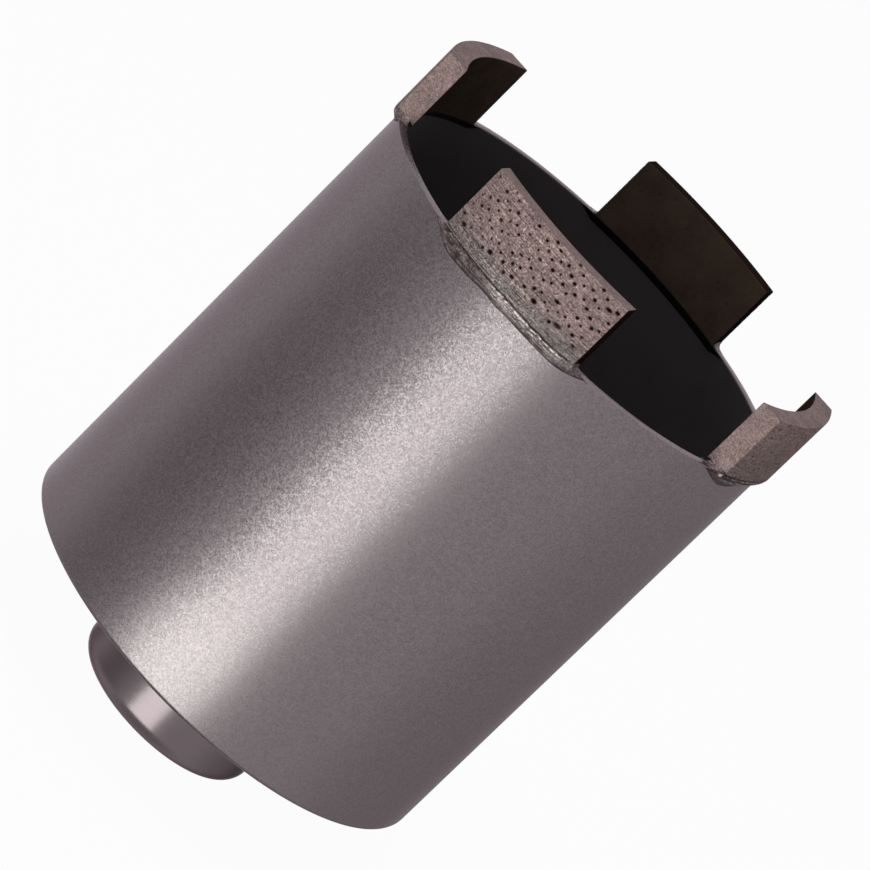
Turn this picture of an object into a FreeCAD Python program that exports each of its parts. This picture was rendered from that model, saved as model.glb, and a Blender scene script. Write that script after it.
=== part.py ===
"""Dry diamond core bit, 68 mm cutting diameter, with an M16 female hub.

The bit stands on the end face of its hub with the cutting end up. The origin is the
centre of that face and +Z is the axis of the bit, towards the diamond segments.
All lengths are in millimetres.
"""
import FreeCAD
import Part
import Sketcher
import os

from FreeCAD import Vector


# Driving dimensions
SIZES = {
    # steel tube that forms the barrel
    "barrel_diameter": 66.0,
    "barrel_wall": 1.5,
    "barrel_length": 69.0,
    "base_edge_break": 0.6,
    "rim_edge_break": 0.15,
    # disc that closes the back of the tube
    "plate_thickness": 4.0,
    "plate_fit": 0.05,
    "plate_weld_depth": 1.4,
    # turned hub with the female thread for the drive shaft
    "hub_diameter": 28.0,
    "hub_projection": 13.5,
    "hub_edge_round": 2.7,
    "spigot_diameter": 21.0,
    "spigot_stand": 1.5,
    "spigot_fit": 0.05,
    "spigot_edge_break": 0.5,
    "thread_minor_diameter": 13.835,
    "thread_mouth_diameter": 16.6,
    "hub_weld_leg": 2.4,
    # sintered diamond segments, proud of the tube wall by a relief on each side
    "segment_count": 4,
    "segment_outer_relief": 1.0,
    "segment_inner_relief": 0.5,
    "segment_width": 24.0,
    "segment_height": 10.5,
    "segment_edge_break": 0.2,
    # brazed joint that wraps the foot of each segment
    "braze_drop": 2.1,
    "braze_inner_drop": 1.0,
    "braze_reach": 2.6,
    "braze_shoulder": 1.4,
    "braze_climb": 0.5,
}

# Places worked out from the driving dimensions
BARREL_RADIUS = "sizes.barrel_diameter / 2"
BORE_RADIUS = "(sizes.barrel_diameter / 2 - sizes.barrel_wall)"
BASE_LEVEL = "sizes.hub_projection"
FLOOR_LEVEL = "(sizes.hub_projection + sizes.plate_thickness)"
RIM_LEVEL = "(sizes.hub_projection + sizes.barrel_length)"
HUB_RADIUS = "sizes.hub_diameter / 2"
SPIGOT_RADIUS = "sizes.spigot_diameter / 2"
THREAD_RADIUS = "sizes.thread_minor_diameter / 2"
CUT_RADIUS = "(sizes.barrel_diameter / 2 + sizes.segment_outer_relief)"
SEGMENT_BORE = "(%s - sizes.segment_inner_relief)" % BORE_RADIUS
HALF_WIDTH = "sizes.segment_width / 2"
TIP = "(sizes.segment_width / 2 + sizes.braze_reach)"

doc = FreeCAD.newDocument("DiamondCoreBit")
sheet = doc.addObject("Spreadsheet::Sheet", "sizes")
for row, (alias, value) in enumerate(SIZES.items(), start=1):
    sheet.set("A%d" % row, alias)
    sheet.set("B%d" % row, str(value))
    sheet.setAlias("B%d" % row, alias)
doc.recompute()


def new_body(label):
    """A body with its own label, which is also the name of the node."""
    body = doc.addObject("PartDesign::Body", label)
    body.Label = label
    return body


def new_sketch(body, role, name):
    """A sketch on one of the body's own origin planes."""
    sketch = body.newObject("Sketcher::SketchObject", name)
    plane = [feature for feature in body.Origin.OriginFeatures if feature.Role == role][0]
    sketch.AttachmentSupport = [(plane, "")]
    sketch.MapMode = "FlatFace"
    return sketch


def raise_sketch(sketch, level):
    """Lifts a sketch off its plane to a level given as an expression."""
    sketch.setExpression("AttachmentOffset.Base.z", level)


def pin(sketch, geometry, point, across, along):
    """Fixes one point of a sketch at coordinates given as expressions."""
    places = (("DistanceX", across, -2), ("DistanceY", along, -1))
    for kind, expression, axis in places:
        if expression == "0":
            sketch.addConstraint(Sketcher.Constraint("PointOnObject", geometry, point, axis))
            continue
        value = sketch.evalExpression(expression)
        index = sketch.addConstraint(
            Sketcher.Constraint(kind, -1, 1, geometry, point, float(value)))
        sketch.setExpression("Constraints[%d]" % index, expression)


def outline(sketch, corners):
    """A closed outline of straight sides through corners given as pairs of expressions."""
    points = [Vector(float(sketch.evalExpression(across)), float(sketch.evalExpression(along)), 0)
              for across, along in corners]
    sides = []
    for number, start in enumerate(points):
        end = points[(number + 1) % len(points)]
        sides.append(sketch.addGeometry(Part.LineSegment(start, end), False))
    for number, (across, along) in enumerate(corners):
        pin(sketch, sides[number], 1, across, along)
        sketch.addConstraint(
            Sketcher.Constraint("Coincident", sides[number - 1], 2, sides[number], 1))


def revolved(body, corners, name):
    """A ring about the axis of the bit, with corners given as radius and level."""
    sketch = new_sketch(body, "XZ_Plane", name + "_section")
    outline(sketch, corners)
    ring = body.newObject("PartDesign::Revolution", name)
    ring.Profile = sketch
    ring.ReferenceAxis = (sketch, ["V_Axis"])
    ring.Angle = 360.0
    doc.recompute()
    return ring


def round_edges(feature, radius, level):
    """Names of the circular edges with this radius at this level."""
    names = []
    for number, edge in enumerate(feature.Shape.Edges, start=1):
        curve = edge.Curve
        if not isinstance(curve, Part.Circle):
            continue
        same_radius = abs(curve.Radius - radius) < 1e-4
        if same_radius and abs(curve.Center.z - level) < 1e-4:
            names.append("Edge%d" % number)
    return names


def value_of(expression):
    """The present value of an expression of the sheet."""
    return float(sheet.evalExpression(expression.replace("sizes.", "")))


def fillet(body, feature, name, radius, level, size):
    """Rounds the circular edge at this radius and level."""
    rounded = body.newObject("PartDesign::Fillet", name)
    rounded.Base = (feature, round_edges(feature, value_of(radius), value_of(level)))
    rounded.setExpression("Radius", size)
    doc.recompute()
    return rounded


def chamfer(body, feature, name, edges, size):
    """Breaks the named edges."""
    broken = body.newObject("PartDesign::Chamfer", name)
    broken.Base = (feature, edges)
    broken.setExpression("Size", size)
    doc.recompute()
    return broken


def make_barrel_tube():
    """Thin steel tube, open at both ends, with its outer back edge broken."""
    body = new_body("barrel_tube")
    tube = revolved(body, [
        (BORE_RADIUS, BASE_LEVEL),
        (BARREL_RADIUS, BASE_LEVEL),
        (BARREL_RADIUS, RIM_LEVEL),
        (BORE_RADIUS, RIM_LEVEL),
    ], "tube_wall")
    base = round_edges(tube, value_of(BARREL_RADIUS), value_of(BASE_LEVEL))
    back = chamfer(body, tube, "back_edge", base, "sizes.base_edge_break")
    rim = round_edges(back, value_of(BARREL_RADIUS), value_of(RIM_LEVEL))
    rim += round_edges(back, value_of(BORE_RADIUS), value_of(RIM_LEVEL))
    chamfer(body, back, "rim_edges", rim, "sizes.rim_edge_break")
    return body


def make_end_plate():
    """Disc in the back of the tube, chamfered at its edge to take the weld."""
    body = new_body("end_plate")
    edge = "(%s - sizes.plate_fit)" % BORE_RADIUS
    hole = "(%s + sizes.spigot_fit)" % SPIGOT_RADIUS
    revolved(body, [
        (hole, BASE_LEVEL),
        (edge + " - sizes.plate_weld_depth", BASE_LEVEL),
        (edge, BASE_LEVEL + " + sizes.plate_weld_depth"),
        (edge, FLOOR_LEVEL),
        (hole, FLOOR_LEVEL),
    ], "plate_disc")
    return body


def make_plate_weld():
    """Weld bead that fills the groove between the plate and the tube."""
    body = new_body("plate_weld")
    edge = "(%s - sizes.plate_fit)" % BORE_RADIUS
    groove_top = BASE_LEVEL + " + sizes.plate_weld_depth"
    revolved(body, [
        (BORE_RADIUS, BASE_LEVEL),
        (edge + " - sizes.plate_weld_depth", BASE_LEVEL),
        (edge, groove_top),
        (BORE_RADIUS, groove_top),
    ], "plate_bead")
    return body


def make_threaded_hub():
    """Turned hub: a rounded boss below the plate and a spigot through it.

    The bore has the minor diameter of the M16 thread and opens to a cone at both ends.
    """
    body = new_body("threaded_hub")
    end_level = FLOOR_LEVEL + " + sizes.spigot_stand"
    mouth_radius = "sizes.thread_mouth_diameter / 2"
    mouth_depth = "(%s - %s)" % (mouth_radius, THREAD_RADIUS)
    blank = revolved(body, [
        (mouth_radius, "0"),
        (HUB_RADIUS, "0"),
        (HUB_RADIUS, BASE_LEVEL),
        (SPIGOT_RADIUS, BASE_LEVEL),
        (SPIGOT_RADIUS, end_level),
        (mouth_radius, end_level),
        (THREAD_RADIUS, "%s - %s" % (end_level, mouth_depth)),
        (THREAD_RADIUS, mouth_depth),
    ], "hub_blank")
    front = fillet(body, blank, "front_edge", HUB_RADIUS, "0", "sizes.hub_edge_round")
    spigot = round_edges(front, value_of(SPIGOT_RADIUS), value_of(end_level))
    chamfer(body, front, "spigot_edge", spigot, "sizes.spigot_edge_break")
    return body


def make_hub_weld():
    """Fillet weld in the corner between the hub and the back of the plate."""
    body = new_body("hub_weld")
    leg = "sizes.hub_weld_leg"
    revolved(body, [
        ("%s + %s" % (HUB_RADIUS, leg), BASE_LEVEL),
        (HUB_RADIUS, "%s - %s" % (BASE_LEVEL, leg)),
        (HUB_RADIUS, BASE_LEVEL),
    ], "hub_bead")
    return body


def segment_outline(sketch):
    """Plan of a segment: two arcs about the axis between parallel ends, centred on -Y."""
    radii = (value_of(CUT_RADIUS), value_of(SEGMENT_BORE))
    half = value_of(HALF_WIDTH)
    outer, inner = [(radius, (radius ** 2 - half ** 2) ** 0.5) for radius in radii]
    faces = []
    for radius, depth in (outer, inner):
        arc = Part.Arc(Vector(-half, -depth, 0), Vector(0, -radius, 0), Vector(half, -depth, 0))
        faces.append(sketch.addGeometry(arc, False))
    ends = []
    for side in (-half, half):
        line = Part.LineSegment(Vector(side, -outer[1], 0), Vector(side, -inner[1], 0))
        ends.append(sketch.addGeometry(line, False))
    for face in faces:
        sketch.addConstraint(Sketcher.Constraint("Coincident", face, 3, -1, 1))
    # an arc runs anticlockwise, so on the -Y side it starts at the left end
    for end, point in zip(ends, (1, 2)):
        sketch.addConstraint(Sketcher.Constraint("Coincident", faces[0], point, end, 1))
        sketch.addConstraint(Sketcher.Constraint("Coincident", faces[1], point, end, 2))
        sketch.addConstraint(Sketcher.Constraint("Vertical", end))
    for face, radius in zip(faces, (CUT_RADIUS, SEGMENT_BORE)):
        index = sketch.addConstraint(Sketcher.Constraint("Radius", face, value_of(radius)))
        sketch.setExpression("Constraints[%d]" % index, radius)
    for end, expression in zip(ends, ("-" + HALF_WIDTH, HALF_WIDTH)):
        index = sketch.addConstraint(
            Sketcher.Constraint("DistanceX", -1, 1, end, 1, value_of(expression)))
        sketch.setExpression("Constraints[%d]" % index, expression)


def turned_to(body, number):
    """Turns a body about the axis to its place among the segments."""
    turn = FreeCAD.Rotation(Vector(0, 0, 1), 360.0 * number / int(SIZES["segment_count"]))
    body.Placement = FreeCAD.Placement(Vector(0, 0, 0), turn)


def make_segment(number):
    """Sintered diamond segment that stands on the rim, proud of it on both sides."""
    body = new_body("segment_%d" % (number + 1))
    sketch = new_sketch(body, "XY_Plane", "segment_plan")
    raise_sketch(sketch, RIM_LEVEL)
    segment_outline(sketch)
    block = body.newObject("PartDesign::Pad", "segment_block")
    block.Profile = sketch
    block.setExpression("Length", "sizes.segment_height")
    doc.recompute()
    top = value_of(RIM_LEVEL) + value_of("sizes.segment_height")
    top_edges = ["Edge%d" % place for place, edge in enumerate(block.Shape.Edges, start=1)
                 if abs(edge.BoundBox.ZMin - top) < 1e-4]
    chamfer(body, block, "top_edges", top_edges, "sizes.segment_edge_break")
    turned_to(body, number)
    return body


def keep_inside(body, sketch, corners, middle, name):
    """Pockets away everything outside an outline, through the whole body.

    The waste is a square about the level middle, twice as wide as the whole bit.
    """
    reach = "2 * " + CUT_RADIUS
    outline(sketch, [
        ("-" + reach, "%s - %s" % (middle, reach)),
        (reach, "%s - %s" % (middle, reach)),
        (reach, "%s + %s" % (middle, reach)),
        ("-" + reach, "%s + %s" % (middle, reach)),
    ])
    outline(sketch, corners)
    trim = body.newObject("PartDesign::Pocket", name)
    trim.Profile = sketch
    trim.Type = "ThroughAll"
    trim.Midplane = True
    doc.recompute()
    return trim


def mirrored(corners, crest=None):
    """Adds the mirror image of half an outline about the vertical axis of its sketch.

    crest is the level of one more corner, on that axis, between the two halves.
    """
    other_half = [("-(%s)" % across, along) for across, along in reversed(corners)]
    middle = [("0", crest)] if crest else []
    return corners + other_half + middle


def make_braze_fillet(number):
    """Ground braze fillet around the foot of a segment.

    Outside, a cone runs from the barrel up to the face of the segment; inside, a smaller
    one fills the corner under the segment; past each end both die away along the rim.
    """
    body = new_body("braze_fillet_%d" % (number + 1))
    top = RIM_LEVEL + " + sizes.braze_climb"
    revolved(body, [
        (BORE_RADIUS, RIM_LEVEL + " - sizes.braze_inner_drop"),
        (BARREL_RADIUS, RIM_LEVEL + " - sizes.braze_drop"),
        (CUT_RADIUS, RIM_LEVEL),
        (CUT_RADIUS, top),
        (SEGMENT_BORE, top),
        (SEGMENT_BORE, RIM_LEVEL),
    ], "braze_ring")

    # seen from above: full width along the segment, then tapering back to the barrel
    plan = new_sketch(body, "XY_Plane", "braze_plan")
    chord = "-sqrt((%s)^2 - (%s)^2)"
    keep_inside(body, plan, mirrored([
        (HALF_WIDTH, chord % (CUT_RADIUS, HALF_WIDTH)),
        (TIP, chord % (BARREL_RADIUS, TIP)),
        (TIP, chord % (BORE_RADIUS, TIP)),
        (HALF_WIDTH, chord % (SEGMENT_BORE, HALF_WIDTH)),
    ], crest="-1.2 * " + CUT_RADIUS), "0", "plan_trim")

    # seen from the front: a straight lower edge that rises to a point at each end
    front = new_sketch(body, "XZ_Plane", "braze_front")
    lowest = RIM_LEVEL + " - 1.15 * sizes.braze_drop"
    keep_inside(body, front, mirrored([
        (HALF_WIDTH, top),
        (TIP, RIM_LEVEL),
        (HALF_WIDTH + " - sizes.braze_shoulder", lowest),
    ]), RIM_LEVEL, "front_trim")

    # the tube passes through the fillet
    wall = new_sketch(body, "XZ_Plane", "braze_wall")
    outline(wall, [
        (BORE_RADIUS, RIM_LEVEL + " - 2 * sizes.braze_drop"),
        (BARREL_RADIUS, RIM_LEVEL + " - 2 * sizes.braze_drop"),
        (BARREL_RADIUS, RIM_LEVEL),
        (BORE_RADIUS, RIM_LEVEL),
    ])
    slot = body.newObject("PartDesign::Groove", "wall_slot")
    slot.Profile = wall
    slot.ReferenceAxis = (wall, ["V_Axis"])
    slot.Angle = 360.0
    doc.recompute()

    # the segment stands in the fillet
    seat = new_sketch(body, "XY_Plane", "braze_seat")
    raise_sketch(seat, RIM_LEVEL)
    segment_outline(seat)
    recess = body.newObject("PartDesign::Pocket", "segment_seat")
    recess.Profile = seat
    recess.Type = "ThroughAll"
    recess.Reversed = True
    doc.recompute()
    turned_to(body, number)
    return body


nodes = [
    make_barrel_tube(),
    make_end_plate(),
    make_plate_weld(),
    make_threaded_hub(),
    make_hub_weld(),
]
for place in range(int(SIZES["segment_count"])):
    nodes.append(make_segment(place))
    nodes.append(make_braze_fillet(place))
doc.recompute()

for item in doc.Objects:
    if "Invalid" in item.State or "Error" in item.State:
        raise RuntimeError("%s failed: %s" % (item.Label, item.State))
for node in nodes:
    if node.Shape.isNull() or not node.Shape.isValid():
        raise RuntimeError("%s has no valid shape" % node.Label)
    if len(node.Shape.Solids) != 1:
        raise RuntimeError("%s is not one solid" % node.Label)

os.makedirs("parts", exist_ok=True)
for node in nodes:
    node.Shape.exportStep("parts/%s.step" % node.Label)
    box = node.Shape.BoundBox
    print("%-16s volume %9.1f mm3  z %7.2f to %7.2f" % (
        node.Label, node.Shape.Volume, box.ZMin, box.ZMax))
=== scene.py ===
# %% [markdown]
# # A dry diamond core bit, dressed in Blender
# The bit is a thin steel tube with four diamond segments brazed on its rim and a
# threaded hub welded into its back. The CAD model gives every piece its place and
# size. This lesson gives the same pieces their finish: satin metallic paint, dressed
# sintered segments full of small pits, and a ground seam of silver braze.

import math

import bpy
import numpy as np
from mathutils import Matrix, Vector


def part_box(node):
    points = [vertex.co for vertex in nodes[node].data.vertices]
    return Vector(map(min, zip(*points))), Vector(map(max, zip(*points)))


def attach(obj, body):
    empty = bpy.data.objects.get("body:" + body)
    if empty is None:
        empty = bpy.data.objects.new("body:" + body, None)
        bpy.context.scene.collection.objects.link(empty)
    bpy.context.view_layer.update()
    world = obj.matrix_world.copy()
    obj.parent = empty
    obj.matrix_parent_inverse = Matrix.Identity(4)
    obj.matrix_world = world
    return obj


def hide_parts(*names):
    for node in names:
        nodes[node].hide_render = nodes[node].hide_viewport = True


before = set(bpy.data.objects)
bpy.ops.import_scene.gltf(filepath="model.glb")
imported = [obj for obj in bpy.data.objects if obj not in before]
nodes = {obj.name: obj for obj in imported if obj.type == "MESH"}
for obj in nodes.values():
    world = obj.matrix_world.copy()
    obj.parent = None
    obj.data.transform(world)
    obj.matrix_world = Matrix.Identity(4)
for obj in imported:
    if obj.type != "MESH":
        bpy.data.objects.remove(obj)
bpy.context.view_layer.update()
print("CAD nodes:", len(nodes))

# %% [markdown]
# ## Sizes
# Blender works in metres and a toolmaker in millimetres, so one constant turns the
# one into the other. What the CAD model already holds is read from its boxes, so the
# dressed pieces follow it. Only the finish has sizes of its own.

# %% Sizes from the frame
MM = 0.001
barrel_low, barrel_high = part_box("barrel_tube")
_, plate_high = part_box("end_plate")
_, hub_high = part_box("threaded_hub")
segment_low, segment_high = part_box("segment_1")
BARREL_RADIUS = barrel_high.x
BARREL_WALL = 1.5 * MM
BORE_RADIUS = BARREL_RADIUS - BARREL_WALL
BASE_LEVEL = barrel_low.z
RIM_LEVEL = barrel_high.z
FLOOR_LEVEL = plate_high.z
PLATE_MIDDLE = (BASE_LEVEL + FLOOR_LEVEL) / 2
HUB_RADIUS = hub_high.x
HUB_END = hub_high.z
CUT_RADIUS = -segment_low.y
SEGMENT_HALF_WIDTH = segment_high.x
SEGMENT_THICKNESS = 3.0 * MM
SEGMENT_HEIGHT = segment_high.z - segment_low.z
SEGMENT_COUNT = 4
SEGMENT_BORE = CUT_RADIUS - SEGMENT_THICKNESS
# a length too small to matter, for comparing places
NEARLY = 1e-9
print("barrel %.1f mm across, %.1f mm long" % (
    2 * BARREL_RADIUS / MM, (RIM_LEVEL - BASE_LEVEL) / MM))


# %% [markdown]
# ## From arrays to meshes
# Turned and ground pieces are formulas, so their points are worked out with numpy and
# handed to Blender in one go. Sharp edges are found by angle, which keeps a
# turned corner crisp and a round one smooth.

# %% Mesh helper
SHARP_ANGLE = math.radians(32)


def new_object(name, data):
    """An object with this data, linked into the scene."""
    made = bpy.data.objects.new(name, data)
    bpy.context.scene.collection.objects.link(made)
    return made


def make_piece(name, points, faces, materials, node, face_slots=None):
    """A mesh piece that rides on the body and stands for a CAD node."""
    mesh = bpy.data.meshes.new(name)
    mesh.from_pydata(points.tolist(), [], [list(face) for face in faces])
    mesh.validate()
    mesh.polygons.foreach_set("use_smooth", [True] * len(mesh.polygons))
    mesh.set_sharp_from_angle(angle=SHARP_ANGLE)
    for material in materials:
        mesh.materials.append(material)
    if face_slots is not None:
        mesh.polygons.foreach_set("material_index", face_slots)
    mesh.update()
    piece = new_object(name, mesh)
    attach(piece, "root")
    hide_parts(node)
    print("%-18s %6d points %6d faces" % (name, len(mesh.vertices), len(mesh.polygons)))
    return piece


def point_values(piece, name, values):
    """Stores one number per point, which a material can read by its name."""
    attribute = piece.data.attributes.new(name, "FLOAT", "POINT")
    attribute.data.foreach_set("value", np.asarray(values, np.float32))


# %% Turned pieces
def arc(centre, radius, start, end, steps):
    """Points of a round corner in a section, as (radius, level), from start to end degrees."""
    angles = np.radians(np.linspace(start, end, steps + 1))
    return [(centre[0] + radius * math.cos(a), centre[1] + radius * math.sin(a)) for a in angles]


def ring_points(section, steps):
    """Every point of a section turned about the axis, one row per section point."""
    turn = np.linspace(0, 2 * math.pi, steps, endpoint=False)
    section = np.asarray(section)
    x = section[:, :1] * np.cos(turn)
    y = section[:, :1] * np.sin(turn)
    z = np.repeat(section[:, 1:], steps, axis=1)
    return np.stack([x, y, z], axis=-1).reshape(-1, 3)


def grid_faces(rows, columns, close_rows, close_columns):
    """Quads between neighbours of a grid of points, joined round where asked."""
    row = np.arange(rows if close_rows else rows - 1)
    column = np.arange(columns if close_columns else columns - 1)
    r, c = np.meshgrid(row, column, indexing="ij")
    r_next = (r + 1) % rows
    c_next = (c + 1) % columns
    quads = np.stack([r * columns + c, r * columns + c_next,
                      r_next * columns + c_next, r_next * columns + c], axis=-1)
    return quads.reshape(-1, 4)


# %% [markdown]
# ## Noise for shapes
# A ground or brazed face is never quite true. One small function gives smooth random
# waves over a surface, from a seeded table, so that every run makes the same part.

# %% Smooth noise
TABLE_SIZE = 64


def smoothstep(low, high, value):
    """0 below low, 1 above high, and an easy slope between them."""
    share = np.clip((value - low) / (high - low), 0, 1)
    return share * share * (3 - 2 * share)


def wavy(across, cell, seed, along=0.0, cell_along=1.0):
    """Smooth noise from -1 to 1 over one or two coordinates, each with its own cell size."""
    table = np.random.default_rng(seed).uniform(-1, 1, (TABLE_SIZE, TABLE_SIZE))
    a = across / cell
    b = along / cell_along
    a0 = np.floor(a).astype(int)
    b0 = np.floor(b).astype(int)

    def between_columns(row):
        left = table[a0 % TABLE_SIZE, row % TABLE_SIZE]
        right = table[(a0 + 1) % TABLE_SIZE, row % TABLE_SIZE]
        share = smoothstep(0, 1, a - a0)
        return left * (1 - share) + right * share

    share = smoothstep(0, 1, b - b0)
    return between_columns(b0) * (1 - share) + between_columns(b0 + 1) * share


print("noise at one place:", round(float(wavy(2.5, 1.0, 1)), 3))

# %% [markdown]
# ## Shader tools
# Materials here are node trees. A few short helpers keep them readable: they add a
# node and fill its inputs, do a sum, mix two colours by a mask, or find how high and
# how far from the axis a point lies, in millimetres.

# %% Node helpers
def fill(tree, node, inputs):
    """Sets the named inputs of a node, or links them where the value is a socket."""
    for key, value in inputs.items():
        if isinstance(value, bpy.types.NodeSocket):
            tree.links.new(value, node.inputs[key])
        else:
            node.inputs[key].default_value = value
    return node


def add(tree, kind, inputs=None, **settings):
    """A node of this kind, with its settings and its inputs."""
    made = tree.nodes.new(kind)
    for name, value in settings.items():
        setattr(made, name, value)
    return fill(tree, made, inputs or {})


def calc(tree, operation, first, second=0.0, third=0.0, clamp=False):
    """The result of a sum with two or three numbers or sockets."""
    return add(tree, "ShaderNodeMath", {0: first, 1: second, 2: third},
               operation=operation, use_clamp=clamp).outputs[0]


def vector_calc(tree, operation, first, second=(0, 0, 0)):
    """The result of a sum with one or two vectors or sockets."""
    return add(tree, "ShaderNodeVectorMath", {0: first, 1: second}, operation=operation).outputs[0]


def scaled(tree, value, factor):
    """A colour or a vector times a number."""
    return add(tree, "ShaderNodeVectorMath", {0: value, "Scale": factor},
               operation="SCALE").outputs[0]


def blend_colour(tree, mask, below, above):
    """Colour below where the mask is 0, and above where it is 1."""
    return add(tree, "ShaderNodeMix", {0: mask, 6: below, 7: above}, data_type="RGBA").outputs[2]


def spread(tree, value, low, high, new_low=0.0, new_high=1.0):
    """Maps a value from one range to another, and stops it there."""
    return add(tree, "ShaderNodeMapRange", {
        "Value": value, "From Min": low, "From Max": high,
        "To Min": new_low, "To Max": new_high}).outputs[0]


def between(tree, share, at_none, at_full):
    """A number that goes from one value to another as a share goes from 0 to 1."""
    return spread(tree, share, 0.0, 1.0, at_none, at_full)


def noise(tree, place, scale, detail, roughness=0.5):
    """Cloudy noise, mostly between 0.3 and 0.7."""
    return add(tree, "ShaderNodeTexNoise", {
        "Vector": place, "Scale": scale, "Detail": detail, "Roughness": roughness}).outputs[0]


def bump(tree, height, strength):
    """A surface normal that follows marks a hundredth of a millimetre deep."""
    return add(tree, "ShaderNodeBump", {
        "Strength": strength, "Distance": 0.01 * MM, "Height": height}).outputs[0]


def point_value(tree, name):
    """The number that the mesh stores under this name at each point."""
    return add(tree, "ShaderNodeAttribute", attribute_name=name).outputs["Fac"]


def height_of(tree, position):
    return add(tree, "ShaderNodeSeparateXYZ", {0: position}).outputs[2]


def radius_of(tree, position):
    flat = vector_calc(tree, "MULTIPLY", position, (1, 1, 0))
    return add(tree, "ShaderNodeVectorMath", {0: flat}, operation="LENGTH").outputs["Value"]


def colour(red, green, blue):
    """A colour as an eye sees it on a screen, 0 to 255, turned into light."""
    def light(value):
        share = value / 255
        return share / 12.92 if share <= 0.04045 else ((share + 0.055) / 1.055) ** 2.4
    return (light(red), light(green), light(blue), 1.0)


# %% Materials and groups
def bare_tree(holder, output_kind="ShaderNodeOutputMaterial"):
    """The emptied node tree of a material or world, and the socket that it ends in."""
    holder.use_nodes = True
    tree = holder.node_tree
    tree.nodes.clear()
    return tree, tree.nodes.new(output_kind).inputs[0]


def make_material(name, look, **settings):
    """A material whose shader gets the inputs that the look gives for a position in millimetres."""
    material = bpy.data.materials.new(name)
    tree, surface = bare_tree(material)
    shader = tree.nodes.new("ShaderNodeBsdfPrincipled")
    tree.links.new(shader.outputs[0], surface)
    place = tree.nodes.new("ShaderNodeTexCoord").outputs["Object"]
    fill(tree, shader, look(tree, scaled(tree, place, 1 / MM), **settings))
    print("material:", material.name)
    return material


def make_group(name, inputs, outputs, sums):
    """A shader node group with named sockets, whose outputs are worked out by these sums."""
    tree = bpy.data.node_groups.new(name, "ShaderNodeTree")
    for label, kind in inputs.items():
        tree.interface.new_socket(label, in_out="INPUT", socket_type="NodeSocket" + kind)
    for label, kind in outputs.items():
        tree.interface.new_socket(label, in_out="OUTPUT", socket_type="NodeSocket" + kind)
    given = tree.nodes.new("NodeGroupInput").outputs
    fill(tree, tree.nodes.new("NodeGroupOutput"), sums(tree, given))
    print("node group:", tree.name)
    return tree


def use_group(tree, group, inputs):
    """The outputs of a shared node group, placed with this material's own values."""
    made = tree.nodes.new("ShaderNodeGroup")
    made.node_tree = group
    return fill(tree, made, inputs).outputs


# %% [markdown]
# ## Flakes in the paint
# Metallic paint is a clear binder full of tiny aluminium flakes. Each one lies a
# little askew, so a lit surface looks sandy: one grain is bright, the next dull. A
# cell pattern gives every flake a random colour, which serves twice: as a small change
# of brightness, and as a small push to the surface's normal. The push is what makes
# the grain strong in the highlight and weak elsewhere, as on the real paint. Ground
# metal glitters in the same way, so paint, braze and segments share the group.

# %% Flake group
CLOUD_SCALE = 1.3
CLOUD_SHARE = 0.6


def flake_sums(tree, given):
    density = calc(tree, "DIVIDE", 1.0, given["Flake Size"])
    cells = add(tree, "ShaderNodeTexVoronoi", {
        "Vector": given["Position"], "Scale": density, "Randomness": 1.0}).outputs["Color"]
    parts = add(tree, "ShaderNodeSeparateColor", {0: cells}).outputs
    soft = noise(tree, given["Position"], CLOUD_SCALE, 4.0, 0.65)
    grain = calc(tree, "SUBTRACT", parts[0], 0.5)
    clouds = calc(tree, "SUBTRACT", soft, 0.5)
    uneven = calc(tree, "MULTIPLY_ADD", clouds, CLOUD_SHARE, grain)
    change = calc(tree, "MULTIPLY", uneven, given["Contrast"])
    level = calc(tree, "MULTIPLY_ADD", change, 2.0, 1.0)
    lean = scaled(tree, vector_calc(tree, "SUBTRACT", cells, (0.5, 0.5, 0.5)), given["Tilt"])
    surface = add(tree, "ShaderNodeNewGeometry").outputs["Normal"]
    leaning = vector_calc(tree, "ADD", surface, lean)
    return {"Colour": scaled(tree, given["Colour"], level),
            "Normal": vector_calc(tree, "NORMALIZE", leaning),
            "Sparkle": spread(tree, parts[0], 0.85, 1.0), "Chance": parts[1]}


flake_group = make_group(
    "paint_flakes",
    {"Position": "Vector", "Flake Size": "Float", "Contrast": "Float", "Tilt": "Float",
     "Colour": "Color"},
    {"Colour": "Color", "Normal": "Vector", "Sparkle": "Float", "Chance": "Float"}, flake_sums)


def flakes(tree, position, size, contrast, tilt, tone):
    return use_group(tree, flake_group, {
        "Position": position, "Flake Size": size, "Contrast": contrast, "Tilt": tilt,
        "Colour": tone})


# %% [markdown]
# ## Grinding marks
# The segments and the braze are dressed on a grinding wheel while the bit turns, so
# every scratch runs round the axis. Noise that changes slowly in the plan and very
# fast along the axis draws just such lines on any face, with no seam anywhere.

# %% Grinding group
def grinding_sums(tree, given):
    split = add(tree, "ShaderNodeSeparateXYZ", {0: given["Position"]}).outputs
    stretched = add(tree, "ShaderNodeCombineXYZ", {
        0: calc(tree, "DIVIDE", split[0], given["Length"]),
        1: calc(tree, "DIVIDE", split[1], given["Length"]),
        2: calc(tree, "DIVIDE", split[2], given["Width"])}).outputs[0]
    return {"Lines": noise(tree, stretched, 1.0, 3.0, 0.6)}


grinding_group = make_group(
    "grinding_marks", {"Position": "Vector", "Length": "Float", "Width": "Float"},
    {"Lines": "Float"}, grinding_sums)


def grinding(tree, position, length, width):
    return use_group(tree, grinding_group, {
        "Position": position, "Length": length, "Width": width})["Lines"]


# %% [markdown]
# ## Stains
# Heat from the torch and dust from grinding leave soft cloudy stains. Two sizes of
# noise, one on top of the other, make clouds that don't look like one pattern.

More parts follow.
